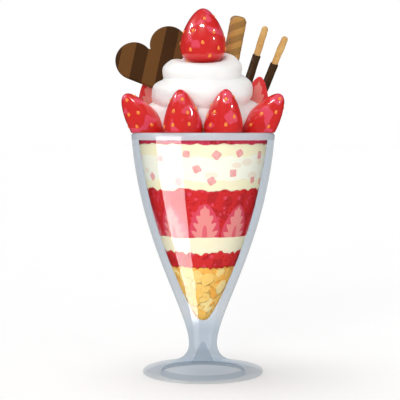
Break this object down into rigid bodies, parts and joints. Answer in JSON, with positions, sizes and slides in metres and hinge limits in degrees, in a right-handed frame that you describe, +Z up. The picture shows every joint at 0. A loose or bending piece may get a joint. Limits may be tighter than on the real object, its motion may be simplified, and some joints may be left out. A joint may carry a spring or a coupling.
{
  "type": "strawberry parfait in a footed glass",
  "caption": "Layered strawberry parfait in its footed glass, topped with piped cream, strawberries, a chocolate heart, a wafer roll and dipped biscuit sticks.",
  "frame": {"origin": "on the table under the middle of the glass's foot, on the glass's axis, which is the middle of the bottom of the parfait's box to within a millimetre", "axes": "+Z up along the glass's axis; the parfait's front, with the two whole strawberries side by side, faces -Y; the chocolate heart stands out to -X and the dipped sticks to +X"},
  "size_m": [0.1098, 0.09, 0.2292],
  "materials": {
    "glass": "clear and polished",
    "cornflake": "dry, rough and blistered",
    "strawberry_sauce": "wet and glossy",
    "cream": "smooth and soft",
    "ice_cream": "soft, with pink dice of strawberry",
    "whipped_cream": "smooth and soft",
    "strawberry": "glossy and seeded, pale pink where cut",
    "chocolate": "satin, with lighter stripes",
    "wafer": "baked, with darker diagonal bands",
    "biscuit": "baked and dry",
    "dark_chocolate": "satin"
  },
  "bodies": {
    "root": {"glass": "glass", "cornflakes": "cornflake", "lower_sauce": "strawberry_sauce", "cream_layer": "cream", "berry_sauce": "strawberry_sauce", "layer_berry_1": "strawberry", "layer_berry_2": "strawberry", "layer_berry_3": "strawberry", "layer_berry_4": "strawberry", "layer_berry_5": "strawberry", "layer_berry_6": "strawberry", "layer_berry_7": "strawberry", "layer_berry_8": "strawberry", "ice_cream": "ice_cream", "top_sauce": "strawberry_sauce", "whipped_cream": "whipped_cream", "rim_berry_1": "strawberry", "rim_berry_2": "strawberry", "rim_berry_3": "strawberry", "rim_berry_4": "strawberry", "half_berry_1": "strawberry", "half_berry_2": "strawberry", "half_berry_3": "strawberry", "half_berry_4": "strawberry", "top_berry": "strawberry", "chocolate_heart": "chocolate", "wafer_roll": "wafer", "biscuit_stick_1": "biscuit", "biscuit_stick_2": "biscuit", "stick_coat_1": "dark_chocolate", "stick_coat_2": "dark_chocolate"}
  },
  "joints": []
}
